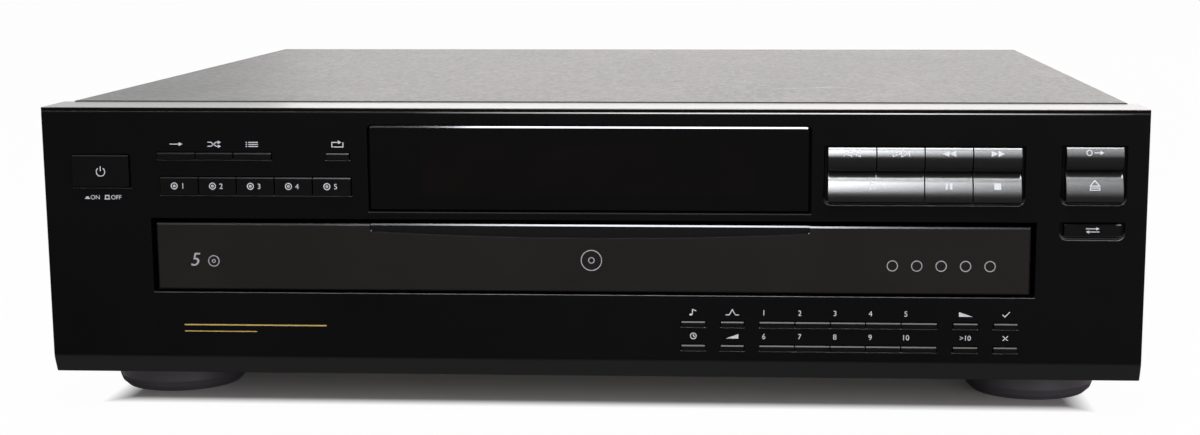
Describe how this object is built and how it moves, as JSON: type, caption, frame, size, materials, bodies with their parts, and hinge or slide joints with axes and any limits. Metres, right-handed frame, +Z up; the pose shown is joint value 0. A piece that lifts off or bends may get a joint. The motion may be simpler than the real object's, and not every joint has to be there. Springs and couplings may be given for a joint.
{
  "type": "multi disc cd changer",
  "caption": "Wide front-loading disc changer with a sliding drawer, rotating carousel table, display window and press keys.",
  "frame": {"origin": "on the surface the feet stand on, under the middle of the overall box", "axes": "+X to the right seen from the front, +Y to the back, +Z up; the front panel faces -Y"},
  "size_m": [0.43, 0.3874, 0.1214],
  "materials": {
    "panel_plastic": "fine satin black",
    "drawer_plastic": "satin black",
    "key_plastic": "semi-gloss black",
    "window_acrylic": "polished smoked acrylic",
    "cover_paint": "fine textured dark paint",
    "plated_steel": "dull zinc plate",
    "screw_steel": "black plated",
    "transformer_steel": "varnished laminations",
    "motor_steel": "plain",
    "foot_plastic": "satin dark grey",
    "circuit_board": "phenolic board",
    "connector_plastic": "plain",
    "deck_plastic": "moulded black",
    "tray_plastic": "moulded black",
    "gear_plastic": "natural acetal",
    "pickup_metal": "die cast"
  },
  "bodies": {
    "case": {"front_panel": "panel_plastic", "display_window": "window_acrylic", "top_cover": "cover_paint", "chassis_pan": "plated_steel", "feet": "foot_plastic", "case_screws": "screw_steel", "switch_board": "circuit_board", "main_board": "circuit_board", "power_transformer": "transformer_steel", "rear_connectors": "connector_plastic", "mechanism_deck": "deck_plastic", "clamp_bridge": "deck_plastic", "loading_motor": "motor_steel"},
    "drawer": {"drawer_tray": "tray_plastic", "drawer_front": "drawer_plastic"},
    "carousel": {"disc_table": "tray_plastic"},
    "table_gear": {"table_gear": "gear_plastic"},
    "loading_gear": {"loading_gear": "gear_plastic"},
    "optical_base": {"optical_base": "deck_plastic"},
    "optical_pickup": {"optical_pickup": "pickup_metal"},
    "disc_hub": {"disc_hub": "gear_plastic"},
    "disc_clamper": {"disc_clamper": "gear_plastic"},
    "power_button": {"power_button": "key_plastic"},
    "continue_key": {"continue_key": "key_plastic"},
    "shuffle_key": {"shuffle_key": "key_plastic"},
    "program_key": {"program_key": "key_plastic"},
    "repeat_key": {"repeat_key": "key_plastic"},
    "disc_1_key": {"disc_1_key": "key_plastic"},
    "disc_2_key": {"disc_2_key": "key_plastic"},
    "disc_3_key": {"disc_3_key": "key_plastic"},
    "disc_4_key": {"disc_4_key": "key_plastic"},
    "disc_5_key": {"disc_5_key": "key_plastic"},
    "previous_track_key": {"previous_track_key": "key_plastic"},
    "next_track_key": {"next_track_key": "key_plastic"},
    "rewind_key": {"rewind_key": "key_plastic"},
    "fast_forward_key": {"fast_forward_key": "key_plastic"},
    "play_key": {"play_key": "key_plastic"},
    "pause_key": {"pause_key": "key_plastic"},
    "stop_key": {"stop_key": "key_plastic"},
    "disc_skip_key": {"disc_skip_key": "key_plastic"},
    "open_close_key": {"open_close_key": "key_plastic"},
    "exchange_key": {"exchange_key": "key_plastic"},
    "number_1_key": {"number_1_key": "key_plastic"},
    "number_2_key": {"number_2_key": "key_plastic"},
    "number_3_key": {"number_3_key": "key_plastic"},
    "number_4_key": {"number_4_key": "key_plastic"},
    "number_5_key": {"number_5_key": "key_plastic"},
    "number_6_key": {"number_6_key": "key_plastic"},
    "number_7_key": {"number_7_key": "key_plastic"},
    "number_8_key": {"number_8_key": "key_plastic"},
    "number_9_key": {"number_9_key": "key_plastic"},
    "number_10_key": {"number_10_key": "key_plastic"},
    "music_scan_key": {"music_scan_key": "key_plastic"},
    "time_key": {"time_key": "key_plastic"},
    "peak_search_key": {"peak_search_key": "key_plastic"},
    "fader_key": {"fader_key": "key_plastic"},
    "edit_fade_key": {"edit_fade_key": "key_plastic"},
    "over_10_key": {"over_10_key": "key_plastic"},
    "check_key": {"check_key": "key_plastic"},
    "clear_key": {"clear_key": "key_plastic"}
  },
  "joints": [
    {"name": "drawer_slide", "type": "slide", "parent": "case", "child": "drawer", "axis": [0, -1, 0], "range_m": [0, 0.245]},
    {"name": "table_spin", "type": "hinge", "parent": "drawer", "child": "carousel", "pos_m": [0, -0.01927, 0.065], "axis": [0, 0, 1], "continuous": true},
    {"name": "table_gear_spin", "type": "hinge", "parent": "drawer", "child": "table_gear", "pos_m": [-0.05, -0.01927, 0.062], "axis": [0, 0, 1], "continuous": true},
    {"name": "loading_gear_spin", "type": "hinge", "parent": "case", "child": "loading_gear", "pos_m": [-0.122, -0.1283, 0.05], "axis": [0, 0, 1], "range_deg": [0, 780]},
    {"name": "base_lift", "type": "slide", "parent": "case", "child": "optical_base", "axis": [0, 0, 1], "range_m": [0, 0.0135]},
    {"name": "pickup_slide", "type": "slide", "parent": "optical_base", "child": "optical_pickup", "axis": [0, 1, 0], "range_m": [0, 0.034]},
    {"name": "hub_spin", "type": "hinge", "parent": "optical_base", "child": "disc_hub", "pos_m": [0, 0.08477, 0.055], "axis": [0, 0, 1], "continuous": true},
    {"name": "clamper_spin", "type": "hinge", "parent": "case", "child": "disc_clamper", "pos_m": [0, 0.08477, 0.081], "axis": [0, 0, 1], "continuous": true},
    {"name": "power_button_press", "type": "slide", "parent": "case", "child": "power_button", "axis": [0, 1, 0], "range_m": [0, 0.004], "stiffness_N_per_m": 300, "springref_m": -0.003},
    {"name": "continue_key_press", "type": "slide", "parent": "case", "child": "continue_key", "axis": [0, 1, 0], "range_m": [0, 0.0008], "stiffness_N_per_m": 500, "springref_m": -0.003},
    {"name": "shuffle_key_press", "type": "slide", "parent": "case", "child": "shuffle_key", "axis": [0, 1, 0], "range_m": [0, 0.0008], "stiffness_N_per_m": 500, "springref_m": -0.003},
    {"name": "program_key_press", "type": "slide", "parent": "case", "child": "program_key", "axis": [0, 1, 0], "range_m": [0, 0.0008], "stiffness_N_per_m": 500, "springref_m": -0.003},
    {"name": "repeat_key_press", "type": "slide", "parent": "case", "child": "repeat_key", "axis": [0, 1, 0], "range_m": [0, 0.0008], "stiffness_N_per_m": 500, "springref_m": -0.003},
    {"name": "disc_1_key_press", "type": "slide", "parent": "case", "child": "disc_1_key", "axis": [0, 1, 0], "range_m": [0, 0.0008], "stiffness_N_per_m": 500, "springref_m": -0.003},
    {"name": "disc_2_key_press", "type": "slide", "parent": "case", "child": "disc_2_key", "axis": [0, 1, 0], "range_m": [0, 0.0008], "stiffness_N_per_m": 500, "springref_m": -0.003},
    {"name": "disc_3_key_press", "type": "slide", "parent": "case", "child": "disc_3_key", "axis": [0, 1, 0], "range_m": [0, 0.0008], "stiffness_N_per_m": 500, "springref_m": -0.003},
    {"name": "disc_4_key_press", "type": "slide", "parent": "case", "child": "disc_4_key", "axis": [0, 1, 0], "range_m": [0, 0.0008], "stiffness_N_per_m": 500, "springref_m": -0.003},
    {"name": "disc_5_key_press", "type": "slide", "parent": "case", "child": "disc_5_key", "axis": [0, 1, 0], "range_m": [0, 0.0008], "stiffness_N_per_m": 500, "springref_m": -0.003},
    {"name": "previous_track_key_press", "type": "slide", "parent": "case", "child": "previous_track_key", "axis": [0, 1, 0], "range_m": [0, 0.0008], "stiffness_N_per_m": 500, "springref_m": -0.003},
    {"name": "next_track_key_press", "type": "slide", "parent": "case", "child": "next_track_key", "axis": [0, 1, 0], "range_m": [0, 0.0008], "stiffness_N_per_m": 500, "springref_m": -0.003},
    {"name": "rewind_key_press", "type": "slide", "parent": "case", "child": "rewind_key", "axis": [0, 1, 0], "range_m": [0, 0.0008], "stiffness_N_per_m": 500, "springref_m": -0.003},
    {"name": "fast_forward_key_press", "type": "slide", "parent": "case", "child": "fast_forward_key", "axis": [0, 1, 0], "range_m": [0, 0.0008], "stiffness_N_per_m": 500, "springref_m": -0.003},
    {"name": "play_key_press", "type": "slide", "parent": "case", "child": "play_key", "axis": [0, 1, 0], "range_m": [0, 0.0008], "stiffness_N_per_m": 500, "springref_m": -0.003},
    {"name": "pause_key_press", "type": "slide", "parent": "case", "child": "pause_key", "axis": [0, 1, 0], "range_m": [0, 0.0008], "stiffness_N_per_m": 500, "springref_m": -0.003},
    {"name": "stop_key_press", "type": "slide", "parent": "case", "child": "stop_key", "axis": [0, 1, 0], "range_m": [0, 0.0008], "stiffness_N_per_m": 500, "springref_m": -0.003},
    {"name": "disc_skip_key_press", "type": "slide", "parent": "case", "child": "disc_skip_key", "axis": [0, 1, 0], "range_m": [0, 0.0008], "stiffness_N_per_m": 500, "springref_m": -0.003},
    {"name": "open_close_key_press", "type": "slide", "parent": "case", "child": "open_close_key", "axis": [0, 1, 0], "range_m": [0, 0.0008], "stiffness_N_per_m": 500, "springref_m": -0.003},
    {"name": "exchange_key_press", "type": "slide", "parent": "case", "child": "exchange_key", "axis": [0, 1, 0], "range_m": [0, 0.0008], "stiffness_N_per_m": 500, "springref_m": -0.003},
    {"name": "number_1_key_press", "type": "slide", "parent": "case", "child": "number_1_key", "axis": [0, 1, 0], "range_m": [0, 0.0008], "stiffness_N_per_m": 500, "springref_m": -0.003},
    {"name": "number_2_key_press", "type": "slide", "parent": "case", "child": "number_2_key", "axis": [0, 1, 0], "range_m": [0, 0.0008], "stiffness_N_per_m": 500, "springref_m": -0.003},
    {"name": "number_3_key_press", "type": "slide", "parent": "case", "child": "number_3_key", "axis": [0, 1, 0], "range_m": [0, 0.0008], "stiffness_N_per_m": 500, "springref_m": -0.003},
    {"name": "number_4_key_press", "type": "slide", "parent": "case", "child": "number_4_key", "axis": [0, 1, 0], "range_m": [0, 0.0008], "stiffness_N_per_m": 500, "springref_m": -0.003},
    {"name": "number_5_key_press", "type": "slide", "parent": "case", "child": "number_5_key", "axis": [0, 1, 0], "range_m": [0, 0.0008], "stiffness_N_per_m": 500, "springref_m": -0.003},
    {"name": "number_6_key_press", "type": "slide", "parent": "case", "child": "number_6_key", "axis": [0, 1, 0], "range_m": [0, 0.0008], "stiffness_N_per_m": 500, "springref_m": -0.003},
    {"name": "number_7_key_press", "type": "slide", "parent": "case", "child": "number_7_key", "axis": [0, 1, 0], "range_m": [0, 0.0008], "stiffness_N_per_m": 500, "springref_m": -0.003},
    {"name": "number_8_key_press", "type": "slide", "parent": "case", "child": "number_8_key", "axis": [0, 1, 0], "range_m": [0, 0.0008], "stiffness_N_per_m": 500, "springref_m": -0.003},
    {"name": "number_9_key_press", "type": "slide", "parent": "case", "child": "number_9_key", "axis": [0, 1, 0], "range_m": [0, 0.0008], "stiffness_N_per_m": 500, "springref_m": -0.003},
    {"name": "number_10_key_press", "type": "slide", "parent": "case", "child": "number_10_key", "axis": [0, 1, 0], "range_m": [0, 0.0008], "stiffness_N_per_m": 500, "springref_m": -0.003},
    {"name": "music_scan_key_press", "type": "slide", "parent": "case", "child": "music_scan_key", "axis": [0, 1, 0], "range_m": [0, 0.0008], "stiffness_N_per_m": 500, "springref_m": -0.003},
    {"name": "time_key_press", "type": "slide", "parent": "case", "child": "time_key", "axis": [0, 1, 0], "range_m": [0, 0.0008], "stiffness_N_per_m": 500, "springref_m": -0.003},
    {"name": "peak_search_key_press", "type": "slide", "parent": "case", "child": "peak_search_key", "axis": [0, 1, 0], "range_m": [0, 0.0008], "stiffness_N_per_m": 500, "springref_m": -0.003},
    {"name": "fader_key_press", "type": "slide", "parent": "case", "child": "fader_key", "axis": [0, 1, 0], "range_m": [0, 0.0008], "stiffness_N_per_m": 500, "springref_m": -0.003},
    {"name": "edit_fade_key_press", "type": "slide", "parent": "case", "child": "edit_fade_key", "axis": [0, 1, 0], "range_m": [0, 0.0008], "stiffness_N_per_m": 500, "springref_m": -0.003},
    {"name": "over_10_key_press", "type": "slide", "parent": "case", "child": "over_10_key", "axis": [0, 1, 0], "range_m": [0, 0.0008], "stiffness_N_per_m": 500, "springref_m": -0.003},
    {"name": "check_key_press", "type": "slide", "parent": "case", "child": "check_key", "axis": [0, 1, 0], "range_m": [0, 0.0008], "stiffness_N_per_m": 500, "springref_m": -0.003},
    {"name": "clear_key_press", "type": "slide", "parent": "case", "child": "clear_key", "axis": [0, 1, 0], "range_m": [0, 0.0008], "stiffness_N_per_m": 500, "springref_m": -0.003}
  ],
  "couplings": [
    {"joint": "table_gear_spin", "follows": "table_spin", "ratio": -4},
    {"joint": "loading_gear_spin", "follows": "drawer_slide", "rad_per_m": 55.556},
    {"joint": "clamper_spin", "follows": "hub_spin", "ratio": 1}
  ]
}
